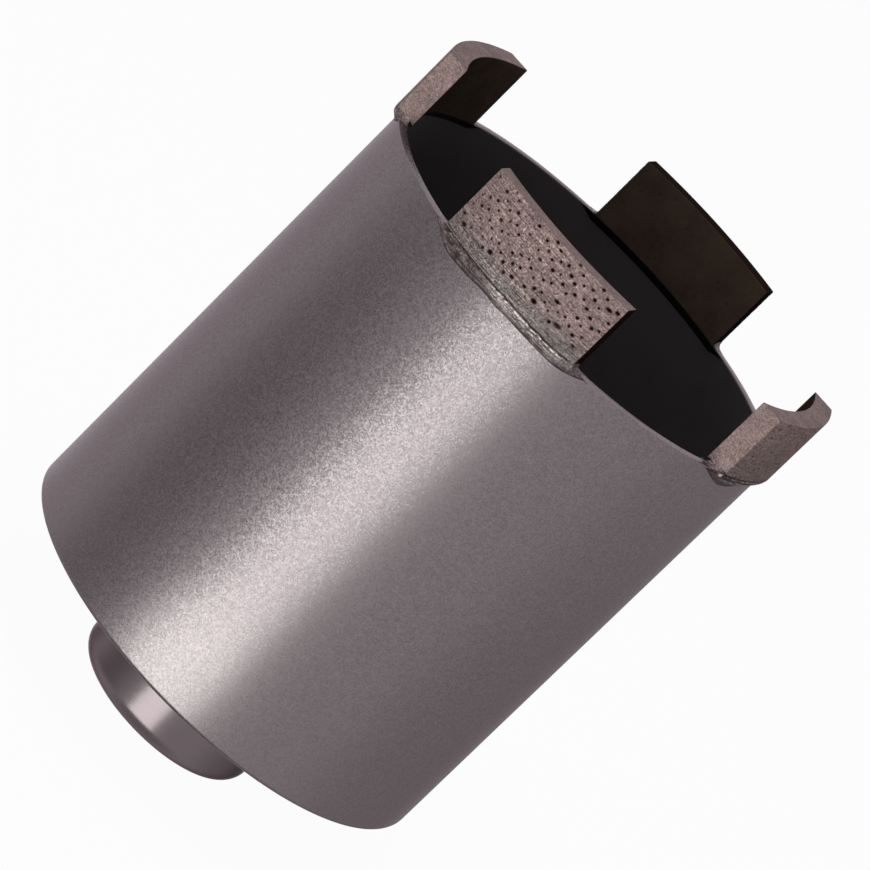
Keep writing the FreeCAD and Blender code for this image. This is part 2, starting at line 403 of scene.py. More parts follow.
# %% Stain group
def stain_sums(tree, given):
    density = calc(tree, "DIVIDE", 1.0, given["Size"])
    large = noise(tree, given["Position"], density, 2.0)
    fine = noise(tree, given["Position"], calc(tree, "MULTIPLY", density, 6.0), 3.0)
    both = calc(tree, "MULTIPLY_ADD", fine, 0.4, large)
    return {"Mask": spread(tree, both, 0.45, 0.95)}


stain_group = make_group(
    "cloudy_stains", {"Position": "Vector", "Size": "Float"}, {"Mask": "Float"}, stain_sums)


def stains(tree, position, size):
    return use_group(tree, stain_group, {"Position": position, "Size": size})["Mask"]


# %% [markdown]
# ## Paint
# The paint is a mauve grey with a satin lustre. A nearly metallic shader with medium
# roughness gives the long soft highlight of such paint, and the flake group gives it
# its sand. On the barrel the flakes are coarse and plain to see, and calmer towards
# its back, where the coat is thicker. A fine line of painted shade darkens the round
# above the back edge, and the rim's top face is painted darker towards its inner edge.
# The hub was turned smooth before it was painted, so there the flakes are fine and
# faint and the gloss is higher.

# %% Paint materials
PAINT = (0.1635, 0.1365, 0.1455, 1)
# the hub's colour is a darker copy of PAINT, as painted shade under the barrel
SHADED_HUB_PAINT = (0.14, 0.112, 0.121, 1)
PAINT_EDGE = (0.9, 0.8, 0.85, 1)
HUB_EDGE = (0.45, 0.4, 0.42, 1)
PAINT_METAL = 0.92
BARREL_FLAKE = 0.175
BARREL_CONTRAST = 0.2
BARREL_TILT = 0.095
BARREL_GLOSS = 0.33
# how far up from the back end the grain is calmer, in millimetres, and what is left of it
GRAIN_FADE = 28.0
GRAIN_LEFT = 0.6
# where the painted shade line above the back edge is darkest and where it ends, in millimetres
SHADE_LINE_DARKEST = 0.12
SHADE_LINE_END = 0.65
SHADE_LINE_LEFT = 0.22
BACK_FACE = 0.06
# what is left of the paint's brightness at the inner edge of the rim
RIM_INNER_LEFT = 0.25


def barrel_edges(tree, position, height):
    """Paint brightness left: painted shade above the back edge, and the rim darker inward."""
    back = BASE_LEVEL / MM
    rim = RIM_LEVEL / MM
    # painted shade: a dark line on the round above the back edge; the end face keeps full paint
    above = spread(tree, height, back + SHADE_LINE_DARKEST, back + SHADE_LINE_END, SHADE_LINE_LEFT, 1.0)
    below = spread(tree, height, back, back + BACK_FACE, 1.0, 0.0)
    line = calc(tree, "MAXIMUM", above, below)
    # the rim's top face is painted darker towards the bore
    toward_bore = spread(tree, radius_of(tree, position),
                 BORE_RADIUS / MM, BARREL_RADIUS / MM - 0.1, RIM_INNER_LEFT, 1.0)
    under_rim = spread(tree, height, rim - 1.0, rim - 0.5, 1.0, 0.0)
    return calc(tree, "MULTIPLY", line, calc(tree, "MAXIMUM", toward_bore, under_rim))


def paint(tree, position, tone, edge, size, contrast, tilt, roughness, uneven, on_barrel=False):
    """Flake paint; barrel grain calmer at the back, painted shade at its back edge, rim darker."""
    if on_barrel:
        height = height_of(tree, position)
        back = BASE_LEVEL / MM
        contrast, tilt = [spread(tree, height, back, back + GRAIN_FADE, GRAIN_LEFT * full, full)
                          for full in (contrast, tilt)]
    coat = flakes(tree, position, size, contrast, tilt, tone)
    tint = coat["Colour"]
    if on_barrel:
        tint = scaled(tree, tint, barrel_edges(tree, position, height))
    rough = between(tree, coat["Chance"], roughness - uneven, roughness + uneven)
    return {"Base Color": tint, "Roughness": rough, "Normal": coat["Normal"],
            "Metallic": PAINT_METAL, "Specular Tint": edge}


barrel_paint = make_material(
    "barrel_paint", paint, tone=PAINT, edge=PAINT_EDGE, size=BARREL_FLAKE, tilt=BARREL_TILT,
    contrast=BARREL_CONTRAST, roughness=BARREL_GLOSS, uneven=0.1, on_barrel=True)
hub_paint = make_material(
    "hub_paint", paint, tone=SHADED_HUB_PAINT, edge=HUB_EDGE, size=0.12, tilt=0.02, contrast=0.04,
    roughness=0.22, uneven=0.02)

# %% [markdown]
# ## The inside of the tube
# Spray hardly reaches the inside, so the drawn tube keeps its dark mill scale. It is
# almost black, dull, and only faintly uneven.

# %% Mill scale
SCALE_DARK = colour(33, 29, 31)
SCALE_LIGHT = colour(45, 40, 41)
SCALE_CLOUD = 9.0


def dark_scale(tree, position):
    clouds = stains(tree, position, SCALE_CLOUD)
    return {"Base Color": blend_colour(tree, clouds, SCALE_DARK, SCALE_LIGHT),
            "Roughness": between(tree, clouds, 0.62, 0.8),
            "Normal": bump(tree, grinding(tree, position, 3.0, 0.6), 0.3),
            "Specular IOR Level": 0.25}


mill_scale = make_material("mill_scale", dark_scale)

# %% [markdown]
# ## The end plate
# The plate is one disc with two finishes: paint below, mill scale above. Its CAD
# shape is right as it stands, so it keeps its mesh and gets one material that
# changes over halfway up its edge, where the tube hides the change.

# %% Plate material
def paint_and_scale(tree, position):
    coat = flakes(tree, position, BARREL_FLAKE, BARREL_CONTRAST, BARREL_TILT, PAINT)
    dark = blend_colour(tree, stains(tree, position, SCALE_CLOUD), SCALE_DARK, SCALE_LIGHT)
    middle = PLATE_MIDDLE / MM
    inside = spread(tree, height_of(tree, position), middle - 0.05, middle + 0.05)
    return {"Base Color": blend_colour(tree, inside, coat["Colour"], dark),
            "Roughness": between(tree, inside, BARREL_GLOSS, 0.7),
            "Metallic": between(tree, inside, PAINT_METAL, 0.0),
            "Normal": coat["Normal"]}


plate = nodes["end_plate"].data
plate.materials.clear()
plate.materials.append(make_material("plate_paint", paint_and_scale))

# %% [markdown]
# ## Bare steel
# The thread is cut last and stays bare. Turning leaves fine rings round the axis,
# which the grinding group draws with a short width.

# %% Thread steel
STEEL_DULL = colour(155, 146, 146)
STEEL_CLEAN = colour(189, 181, 182)


def steel(tree, position):
    rings = grinding(tree, position, 4.0, 0.05)
    tint = blend_colour(tree, stains(tree, position, 4.0), STEEL_DULL, STEEL_CLEAN)
    return {"Base Color": tint, "Roughness": spread(tree, rings, 0.3, 0.7, 0.28, 0.42),
            "Normal": bump(tree, rings, 0.4), "Metallic": 1.0}


thread_steel = make_material("thread_steel", steel)

# %% [markdown]
# ## Sintered metal
# A segment is metal powder pressed and sintered with diamonds in it. Dressing opens
# it: the face turns pinkish grey with fine scratches, and a pit stays wherever a
# stone broke out. The pits are real dents in the mesh, and each point also says how
# deep in a pit it lies, so the material paints shade into the pit. The concave face
# isn't dressed and keeps its dark sinter skin; a few other sides get it as painted shade.

# %% Segment materials
FACE_PINK = colour(141, 119, 118)
FACE_GREY = colour(117, 108, 108)
SKIN_DARK = colour(62, 51, 44)
SKIN_BROWN = colour(78, 63, 55)
# the colour of the painted shade on the listed ends and tops
SIDE_SHADE = colour(40, 30, 27)
# pits are painted dark as painted shade: a halo round each, darkest at the bottom
PIT_HALO_SHADE = colour(72, 50, 46)
PIT_SHADE = colour(12, 5, 4)
SINTER_CLOUD = 4.0
SINTER_GRAIN = 0.16
# between which heights above the rim the grey of the foot fades out, in millimetres
GREY_LOW = 1.0
GREY_HIGH = 4.5


def sintered(tree, position):
    height = height_of(tree, position)
    dressed = point_value(tree, "dressed")
    pit = point_value(tree, "pit")
    clouds = stains(tree, position, SINTER_CLOUD)
    rim = RIM_LEVEL / MM
    top = rim + SEGMENT_HEIGHT / MM

    def by_dressing(raw_and_shade, full):
        return between(tree, dressed, raw_and_shade, full)

    foot = spread(tree, height, rim + GREY_LOW, rim + GREY_HIGH, 0.9, 0.0)
    foot = calc(tree, "MULTIPLY", foot, dressed)
    greyness = calc(tree, "MULTIPLY", foot, calc(tree, "ADD", clouds, 0.45), clamp=True)
    face = blend_colour(tree, greyness, FACE_PINK, FACE_GREY)
    scratches = calc(tree, "SUBTRACT", grinding(tree, position, 3.0, 0.13), 0.5)
    depth = calc(tree, "MULTIPLY_ADD", foot, 1.6, by_dressing(0.7, 2.7))
    shade = calc(tree, "MULTIPLY_ADD", scratches, depth, 1.0)
    # painted shade: the top of each segment is darker
    shaded_top = spread(tree, height, top - 0.12, top - 0.04, 1.0, 0.86)
    shade = calc(tree, "MULTIPLY", shade, shaded_top)
    shade = calc(tree, "MULTIPLY", shade, spread(tree, clouds, 0.2, 0.8, 0.9, 1.08))
    grains = flakes(tree, position, SINTER_GRAIN, by_dressing(0.34, 0.5), by_dressing(0.1, 0.3),
                    scaled(tree, face, shade))

    # painted shade in the pits: a dark halo, then darker still at the bottom
    tint = blend_colour(tree, spread(tree, pit, 0.1, 0.5), grains["Colour"], PIT_HALO_SHADE)
    tint = blend_colour(tree, spread(tree, pit, 0.4, 0.85), tint, PIT_SHADE)
    sparkle = calc(tree, "MULTIPLY", grains["Sparkle"], by_dressing(0.35, 1.0))
    open_face = calc(tree, "SUBTRACT", 1.0, pit)
    metal = calc(tree, "MULTIPLY", open_face, calc(tree, "MULTIPLY_ADD", sparkle, 0.2, 0.12))
    return {"Base Color": tint, "Roughness": between(tree, sparkle, 0.55, 0.35),
            "Metallic": metal, "Normal": grains["Normal"], "Specular IOR Level": 0.02}


def skin(tree, position):
    clouds = stains(tree, position, SINTER_CLOUD)
    tint = blend_colour(tree, clouds, SKIN_DARK, SKIN_BROWN)
    # the listed ends and tops are painted darker still, as painted shade
    tint = blend_colour(tree, point_value(tree, "raw_and_shade"), tint, SIDE_SHADE)
    # painted shade in the faint marks of this face
    tint = blend_colour(tree, point_value(tree, "pit"), tint, PIT_SHADE)
    return {"Base Color": tint, "Roughness": between(tree, clouds, 0.6, 0.75),
            "Specular IOR Level": 0.0}


sintered_metal = make_material("sintered_metal", sintered)
sinter_skin = make_material("sinter_skin", skin)

# %% [markdown]
# ## Braze
# Silver braze flows round the foot of each segment and is then ground back with it.
# Most of it is dull and mottled, with a dark line where it thins out on the tube. A
# few thin ragged threads of it stay bright, and a painted glint sits past each end.
# Each point of the mesh says how much it is thread or glint, and how much dark edge. On
# the inside it is painted near black, as painted shade under the segments.

# %% Braze material
BRAZE_DULL = colour(98, 81, 83)
BRAZE_CLEAN = colour(160, 144, 147)
BRAZE_BRIGHT = colour(214, 205, 202)
BRAZE_EDGE = colour(45, 32, 34)
BRAZE_INSIDE_SHADE = colour(24, 21, 20)
BRAZE_GRAIN = 0.18


def braze(tree, position):
    thread = point_value(tree, "bright")
    edge = point_value(tree, "edge")
    dull = blend_colour(tree, stains(tree, position, 3.0), BRAZE_DULL, BRAZE_CLEAN)
    level = spread(tree, grinding(tree, position, 2.0, 0.14), 0.3, 0.7, 0.35, 1.65)
    grains = flakes(tree, position, BRAZE_GRAIN, 0.55, 0.35, scaled(tree, dull, level))
    tint = blend_colour(tree, thread, grains["Colour"], BRAZE_BRIGHT)
    tint = blend_colour(tree, edge, tint, BRAZE_EDGE)
    # painted shade: the braze inside the tube is painted near black
    bore = BORE_RADIUS / MM
    inside = spread(tree, radius_of(tree, position), bore + 0.05, bore + 0.3, 1.0, 0.0)
    metal = calc(tree, "MULTIPLY", between(tree, thread, 0.15, 0.75),
                 calc(tree, "SUBTRACT", 1.0, inside))
    return {"Base Color": blend_colour(tree, inside, tint, BRAZE_INSIDE_SHADE),
            "Roughness": between(tree, thread, 0.52, 0.42),
            "Metallic": metal, "Normal": grains["Normal"], "Specular IOR Level": 0.03}


silver_braze = make_material("silver_braze", braze)

# %% [markdown]
# ## Barrel
# The barrel is a tube cut from stock, so its section is one closed line turned about
# the axis: rounded at the outer back edge, hardly broken at the rim. Turning it here,
# with many steps, keeps the long highlight free of facets. Outside it is painted, and
# inside it keeps its scale, so its faces are shared out between two materials.

# %% Turn the barrel
BARREL_STEPS = 360
BASE_ROUND = 0.7 * MM
RIM_BREAK = 0.15 * MM


def make_barrel():
    section = [(BORE_RADIUS, BASE_LEVEL)]
    section += arc((BARREL_RADIUS - BASE_ROUND, BASE_LEVEL + BASE_ROUND), BASE_ROUND, -90, 0, 8)
    section += arc((BARREL_RADIUS - RIM_BREAK, RIM_LEVEL - RIM_BREAK), RIM_BREAK, 0, 90, 3)
    section += arc((BORE_RADIUS + RIM_BREAK, RIM_LEVEL - RIM_BREAK), RIM_BREAK, 90, 180, 3)
    faces = grid_faces(len(section), BARREL_STEPS, True, True)
    rows = faces // BARREL_STEPS
    # the strip that joins the last row to the first is the bore
    bore = (rows == len(section) - 1).any(axis=1) & (rows == 0).any(axis=1)
    make_piece("barrel", ring_points(section, BARREL_STEPS), faces,
               [barrel_paint, mill_scale], "barrel_tube", bore.astype(int))


make_barrel()

# %% [markdown]
# ## Hub
# The hub is a turned boss with a female M16 thread. A thread can't be turned from one
# section, but it can be wound: rows of points climb by one pitch in a full turn, and
# the row of one turn joins on to the next. Rows past either end are held at the end
# face, where they fall together and are merged.

# %% Cut the thread
THREAD_PITCH = 2.0 * MM
THREAD_MINOR = 13.835 / 2 * MM
THREAD_MAJOR = 16.0 / 2 * MM
MOUTH_RADIUS = 16.6 / 2 * MM
HUB_STEPS = 120
# share of a pitch where the section turns a corner, and the depth there from 0 to 1
THREAD_SECTION = ((0.0, 0.0), (0.25, 0.0), (0.5625, 1.0), (0.6875, 1.0))


def thread_points():
    """Rows of points that wind up the bore, each row one corner of the thread's section."""
    turns = int(HUB_END / THREAD_PITCH) + 3
    share = np.linspace(0, 1, HUB_STEPS, endpoint=False)
    rows = []
    for turn in range(-1, turns):
        for along, depth in THREAD_SECTION:
            level = np.clip((turn + along + share) * THREAD_PITCH, 0, HUB_END)
            cone = MOUTH_RADIUS - np.minimum(level, HUB_END - level)
            radius = np.maximum(THREAD_MINOR + depth * (THREAD_MAJOR - THREAD_MINOR), cone)
            rows.append(np.stack([radius * np.cos(share * 2 * math.pi),
                                  radius * np.sin(share * 2 * math.pi), level], axis=-1))
    return np.array(rows)


def thread_faces(rows):
    """Quads between the rows; past the last column each row goes on as that of the next turn."""
    row, column = np.meshgrid(np.arange(rows - 1), np.arange(HUB_STEPS), indexing="ij")
    step = np.where(column == HUB_STEPS - 1, len(THREAD_SECTION), 0)
    inside = row + 1 + step < rows
    here = (row * HUB_STEPS + column)[inside]
    after = ((row + step) * HUB_STEPS + (column + 1) % HUB_STEPS)[inside]
    return np.stack([here, here + HUB_STEPS, after + HUB_STEPS, after], axis=-1)


# %% Turn the hub
HUB_ROUND = 2.7 * MM
SPIGOT_RADIUS = 10.5 * MM
SPIGOT_BREAK = 0.5 * MM
MERGE_STEP = 0.001 * MM


def merged(points, faces):
    """Joins points that fall together, and drops faces that have lost their area."""
    keys = np.round(points / MERGE_STEP).astype(np.int64)
    _, first, where = np.unique(keys, axis=0, return_index=True, return_inverse=True)
    corners = [list(dict.fromkeys(face)) for face in where.reshape(-1)[faces].tolist()]
    return points[first], [face for face in corners if len(face) > 2]


def make_hub():
    section = [(MOUTH_RADIUS, 0.0)]
    section += arc((HUB_RADIUS - HUB_ROUND, HUB_ROUND), HUB_ROUND, -90, 0, 12)
    section += [(HUB_RADIUS, BASE_LEVEL), (SPIGOT_RADIUS, BASE_LEVEL),
                (SPIGOT_RADIUS, HUB_END - SPIGOT_BREAK), (SPIGOT_RADIUS - SPIGOT_BREAK, HUB_END),
                (MOUTH_RADIUS, HUB_END)]
    outside = ring_points(section, HUB_STEPS)
    outside_faces = grid_faces(len(section), HUB_STEPS, False, True)
    inside = thread_points()
    inside_faces = thread_faces(len(inside)) + len(outside)
    points, faces = merged(np.concatenate([outside, inside.reshape(-1, 3)]),
                           np.concatenate([outside_faces, inside_faces]))
    centres = np.array([points[face].mean(axis=0) for face in faces])
    finish = np.where(centres[:, 2] > PLATE_MIDDLE, 2, 0)
    finish[np.hypot(centres[:, 0], centres[:, 1]) < MOUTH_RADIUS] = 1
    make_piece("hub", points, faces, [hub_paint, thread_steel, mill_scale],
               "threaded_hub", finish)


make_hub()

# %% [markdown]
# ## Weld beads
# The hub is welded to the plate, and the plate to the tube. A welder's bead is laid
# in short steps, so it has a low crown and fine ripples all the way round. Each ripple
# is a crescent, because the middle of the weld pool sets last. One function makes both
# beads, from a section whose height follows the ripples and a little noise.

# %% Lay the beads
# how far the middle of a ripple trails behind its ends, in radians of its cycle
RIPPLE_LAG = 2.4
RIPPLE_STEPS = 8
BEAD_ROWS = 9
BEAD_LUMP = 3.0 * MM
BEAD_ROOT = 0.3


def make_bead(name, node, corner_out, corner_in, crown, ripples, ripple_depth, seed):
    """A ring of weld between two corners (radius, level), crowned and rippled."""
    steps = ripples * RIPPLE_STEPS
    turn = np.linspace(0, 2 * math.pi, steps, endpoint=False)
    out = np.array(corner_out)
    across = np.array(corner_in) - out
    width = np.linalg.norm(across)
    normal = np.array([across[1], -across[0]]) / width
    lumps = wavy(out[0] * np.cos(turn), BEAD_LUMP, seed, out[0] * np.sin(turn), BEAD_LUMP)
    rows = []
    for share in np.linspace(0, 1, BEAD_ROWS):
        rise = 4 * share * (1 - share)
        swell = np.cos(turn * ripples - RIPPLE_LAG * rise + lumps)
        height = rise * (crown + ripple_depth * (0.5 * swell + 0.5 * lumps))
        rows.append((out + across * share)[:, None] + normal[:, None] * height)
    root = out + across / 2 - normal * width * BEAD_ROOT
    rows.append(root[:, None] * np.ones(steps))
    points = np.concatenate([
        np.stack([radius * np.cos(turn), radius * np.sin(turn), level], axis=-1)
        for radius, level in rows])
    faces = grid_faces(len(rows), steps, True, True)
    make_piece(name, points, faces, [hub_paint], node)


WELD_LEG = 2.4 * MM
PLATE_WELD_WIDTH = 1.4 * MM
make_bead(
    "hub_weld_bead", "hub_weld",
    (HUB_RADIUS, BASE_LEVEL - WELD_LEG), (HUB_RADIUS + WELD_LEG, BASE_LEVEL),
    crown=0.3 * MM, ripples=72, ripple_depth=0.2 * MM, seed=5)
make_bead(
    "plate_weld_bead", "plate_weld",
    (BORE_RADIUS - PLATE_WELD_WIDTH, BASE_LEVEL), (BORE_RADIUS, BASE_LEVEL),
    crown=0.15 * MM, ripples=150, ripple_depth=0.1 * MM, seed=6)

# %% [markdown]
# ## Segments
# Each segment is a curved block: its two long faces follow the tube and its ends are
# parallel. It starts as a box of fine grid lines, width by thickness by height. The
# box is rounded at its edges, dented by its pits, and only then bent round the axis.
# The stones were set by a jig, so the pits sit in columns that repeat in fours, each
# column a little higher or lower than its neighbour.

# %% Pits
PIT_COLUMN_PITCH = 1.03 * MM
PIT_ROW_PITCH = 1.61 * MM
PIT_STAGGER = (0.0, 0.31, 0.86, 0.60)
PIT_RADIUS = 0.21 * MM
PIT_DEPTH = 0.2 * MM
PIT_LOWEST = 2.15 * MM
PIT_HIGHEST = SEGMENT_HEIGHT - 0.3 * MM
PIT_SCATTER = 0.05 * MM
PIT_STRENGTHS = (0.3, 0.7, 1.0)
PIT_SHARES = (0.12, 0.2, 0.68)
# the lowest pits of a face are larger, by this much, over this height
LOW_PIT_SIZE = 1.35
LOW_PIT_BAND = 0.8 * MM
SPECKS = 16


def pit_places(seed):
    """Where the pits lie on a face: across, up, radius, length and depth of each."""
    chance = np.random.default_rng(seed)
    places = []
    for column in range(int(2 * SEGMENT_HALF_WIDTH / PIT_COLUMN_PITCH)):
        across = -SEGMENT_HALF_WIDTH + (column + 0.7) * PIT_COLUMN_PITCH
        stagger = PIT_STAGGER[(column + seed) % len(PIT_STAGGER)]
        for row in range(int(SEGMENT_HEIGHT / PIT_ROW_PITCH) + 1):
            up = SEGMENT_HEIGHT - (row + stagger + 0.2) * PIT_ROW_PITCH
            shift = chance.normal(0, PIT_SCATTER, 2)
            size = chance.uniform(0.7, 1.15)
            length = 1 + chance.exponential(0.22)
            strength = chance.choice(PIT_STRENGTHS, p=PIT_SHARES)
            if up < PIT_LOWEST or up > PIT_HIGHEST:
                continue
            if up < PIT_LOWEST + LOW_PIT_BAND:
                size *= LOW_PIT_SIZE
            strength *= 0.78 + 0.22 * smoothstep(-8 * MM, -3 * MM, across)
            places.append((across + shift[0], up + shift[1], PIT_RADIUS * size, length, strength))
    return places


def speck_places(seed):
    """A few faint random marks, for a face that was never opened."""
    chance = np.random.default_rng(seed)
    return [(chance.uniform(-0.9, 0.9) * SEGMENT_HALF_WIDTH,
             chance.uniform(0.15, 0.9) * SEGMENT_HEIGHT,
             PIT_RADIUS, 1.0, chance.uniform(0.1, 0.3)) for _ in range(SPECKS)]


def pit_field(across, up, places):
    """How deep in a pit each point lies, from 0 on the face to 1 at the bottom."""
    depth = np.zeros_like(across)
    for pit_across, pit_up, radius, length, strength in places:
        away = np.hypot((across - pit_across) / length, up - pit_up) / radius
        depth = np.maximum(depth, strength * np.exp(-away ** 3))
    return depth


print("pits on the first segment:", len(pit_places(1)))

# %% Block of grid lines
GRID_STEP = 0.125 * MM
EDGE_ROUND = 0.12 * MM
BLOCK_LOW = np.array([-SEGMENT_HALF_WIDTH, 0, 0])
BLOCK_HIGH = np.array([SEGMENT_HALF_WIDTH, SEGMENT_THICKNESS, SEGMENT_HEIGHT])
BLOCK_STEPS = (GRID_STEP, GRID_STEP * 1.5, GRID_STEP)


def grid_lines(low, high, step):
    """Grid lines over a length, with closer ones in the rounding at both ends."""
    even = np.linspace(low, high, max(2, round((high - low) / step)) + 1)
    margin = EDGE_ROUND * 1.3
    middle = even[(even > low + margin) & (even < high - margin)]
    near = EDGE_ROUND * np.array([0.0, 0.35, 0.7, 1.0])
    return np.concatenate([low + near, middle, high - near[::-1]])


def box_skin(lines):
    """Points and outward quads of the six sides of a box with these grid lines."""
    points = []
    faces = []
    count = 0
    for axis in range(3):
        others = [a for a in range(3) if a != axis]
        first, second = np.meshgrid(lines[others[0]], lines[others[1]], indexing="ij")
        for side in (0, -1):
            sheet = np.zeros(first.shape + (3,))
            sheet[..., others[0]] = first
            sheet[..., others[1]] = second
            sheet[..., axis] = lines[axis][side]
            quads = grid_faces(*first.shape, False, False) + count
            backwards = (side == 0) == (axis != 1)
            faces.append(quads[:, ::-1] if backwards else quads)
            points.append(sheet.reshape(-1, 3))
            count += first.size
    return np.concatenate(points), np.concatenate(faces)


def make_block():
    """The points of a flat block, the same points with its edges rounded, and its quads."""
    lines = [grid_lines(*span) for span in zip(BLOCK_LOW, BLOCK_HIGH, BLOCK_STEPS)]
    flat, quads = merged(*box_skin(lines))
    core = np.clip(flat, BLOCK_LOW + EDGE_ROUND, BLOCK_HIGH - EDGE_ROUND)
    away = flat - core
    length = np.linalg.norm(away, axis=1, keepdims=True)
    return flat, core + away / length * EDGE_ROUND, np.array(quads)


flat_block, round_block, block_quads = make_block()
print("block: %d points" % len(flat_block))

# %% Shape a segment
FOOT_HEIGHT = 0.45 * MM
FOOT_SLOPE = 0.15 * MM
FOOT_RECESS = 0.2 * MM
END_ROUGHNESS = 0.02 * MM
# how clear the pits of each segment are
PIT_CLEAR = (1.0, 0.5, 0.8, 0.8)
# how deep the scratches on the outer face of each segment are
DRESSING = (1.0, 0.45, 0.8, 0.8)
# whether the two ends and the top of each segment get the skin too, painted darker as painted shade
SHADED_SIDES = ((0, 1, 0), (0, 0, 0), (1, 1, 1), (0, 0, 0))


def bent(number, across, radius, level):
    """Flat places, bent round the axis and turned to the seat of this segment."""
    back = -np.sqrt(radius ** 2 - across ** 2)
    turn = 2 * math.pi * number / SEGMENT_COUNT
    return np.stack([across * math.cos(turn) - back * math.sin(turn),
                     across * math.sin(turn) + back * math.cos(turn),
                     level * np.ones_like(across)], axis=-1)


def make_segment(number):
    across, out, up = flat_block.T
    outer = out > BLOCK_HIGH[1] - NEARLY
    inner = out < NEARLY
    ends = np.abs(across) > BLOCK_HIGH[0] - NEARLY
    pits = np.where(outer, PIT_CLEAR[number] * pit_field(across, up, pit_places(number + 1)), 0)
    pits = np.where(inner, pit_field(across, up, speck_places(number + 11)), pits)
    foot = smoothstep(FOOT_HEIGHT, FOOT_HEIGHT - FOOT_SLOPE, up)
    rough = wavy(out, 0.35 * MM, number + 31, up, 0.3 * MM) - np.sign(across)

    across_now, out_now, up_now = round_block.T
    across_now = across_now + END_ROUGHNESS * np.where(ends, rough, 0)
    out_now = out_now + PIT_DEPTH * pits * (inner.astype(int) - outer)
    out_now = out_now - FOOT_RECESS * np.where(outer, foot, 0)
    points = bent(number, across_now, SEGMENT_BORE + out_now, RIM_LEVEL + up_now)

    # the listed ends and tops get the skin material and painted shade
    left, right, top = SHADED_SIDES[number]
    raw_and_shade = np.where(ends, np.where(across < 0, left, right), 0)
    raw_and_shade = np.maximum(raw_and_shade, top * (up > BLOCK_HIGH[2] - NEARLY))
    skin_faces = (inner | (raw_and_shade > 0))[block_quads].all(axis=1)
    piece = make_piece("diamond_segment_%d" % (number + 1), points, block_quads,
                       [sintered_metal, sinter_skin],
                       "segment_%d" % (number + 1), skin_faces.astype(int))
    point_values(piece, "pit", pits)
    point_values(piece, "dressed", np.where(outer, DRESSING[number], 0))
    point_values(piece, "raw_and_shade", np.where(inner, 0, raw_and_shade))


for number in range(SEGMENT_COUNT):
    make_segment(number)

# %% [markdown]
# ## Braze fillets
# Seen from the front, the braze is a long lens: level along the segment and rising to
# a point past each end. For every step along it the section is one closed loop that
# starts on the tube, climbs to the face of the segment, passes out of sight through
# the metal and comes back on the inside. Its lower edge, its ragged upper edge and
# its bright threads are lines that wander a little along the segment.

# %% Fillet lines
BRAZE_STEP = 0.1 * MM
BRAZE_DROP = 1.5 * MM
BRAZE_POOL = 0.4 * MM
BRAZE_POOL_PLACE = -8 * MM
BRAZE_POOL_WIDTH = 3.2 * MM
BRAZE_INNER_DROP = 1.0 * MM
BRAZE_REACH = 2.5 * MM
BRAZE_TIP = SEGMENT_HALF_WIDTH + BRAZE_REACH
BRAZE_LEVEL_HALF = 9.5 * MM
BRAZE_CLIMB = 0.6 * MM
BRAZE_END_CLIMB = 0.35 * MM
BRAZE_FILM = 0.04 * MM
BRAZE_ROOT = 0.7 * MM
BRAZE_FACE = CUT_RADIUS - 0.04 * MM
TIP_SINK = 0.25 * MM
TIP_SHARE = 0.04
TIP_HEIGHT = 0.05 * MM
THREAD_WIDTH = 0.075 * MM
THREAD_LIFT = 0.05 * MM
THREAD_WANDER = 0.05 * MM
# level from the rim and brightness of each bright thread
THREADS = ((0.1 * MM, 0.9), (-0.4 * MM, 0.9), (-0.75 * MM, 0.45))
# how far the threads run along each segment, and the bead and its painted glint at its two ends
THREAD_RUNS = ((-2.0 * MM, 10.5 * MM), (-11 * MM, 2.0 * MM), (-6 * MM, 9 * MM), (-10 * MM, 4 * MM))
END_BEADS_AND_GLINTS = ((0.2, 0.1), (0.8, 0.2), (0.1, 0.1), (0.15, 0.2))
# how far the braze of each segment stands out from the tube, and how dark it has stayed
BULGES = (1.0, 0.75, 0.75, 0.75)
DARKNESS = (0.0, 0.8, 0.5, 0.4)
# the near segment's braze is darker at both ends, and that on the right is lower at one
NEAR_SEGMENT = 0
RIGHT_SEGMENT = 1


def lower_edge(across, number):
    """How far below the rim the braze ends, along the segment."""
    bend = (np.abs(across) - BRAZE_LEVEL_HALF) / (BRAZE_TIP - BRAZE_LEVEL_HALF)
    pool = BRAZE_POOL * np.exp(-((across - BRAZE_POOL_PLACE) / BRAZE_POOL_WIDTH) ** 2)
    drop = (BRAZE_DROP + pool) * (1 - np.clip(bend, 0, 1) ** 1.7)
    if number == RIGHT_SEGMENT:
        drop *= 1 - 0.5 * smoothstep(-8 * MM, 6 * MM, across)
    return drop * (1 + 0.04 * wavy(across, 2.5 * MM, number + 41))


def upper_edge(across, past, number):
    """How far above the rim the braze climbs, along the segment and past its ends."""
    ragged = BRAZE_CLIMB * (1 + 0.22 * wavy(across, 0.5 * MM, number + 21)
                            + 0.3 * wavy(across, 3.0 * MM, number + 22))
    beads = 0.6 + np.where(across < 0, *END_BEADS_AND_GLINTS[number])
    end = BRAZE_END_CLIMB * beads * np.exp(-(past / (0.4 * MM)) ** 1.4)
    return np.where(past <= 0, ragged, end) - TIP_SINK * smoothstep(0.5, 1.0, past / BRAZE_REACH)


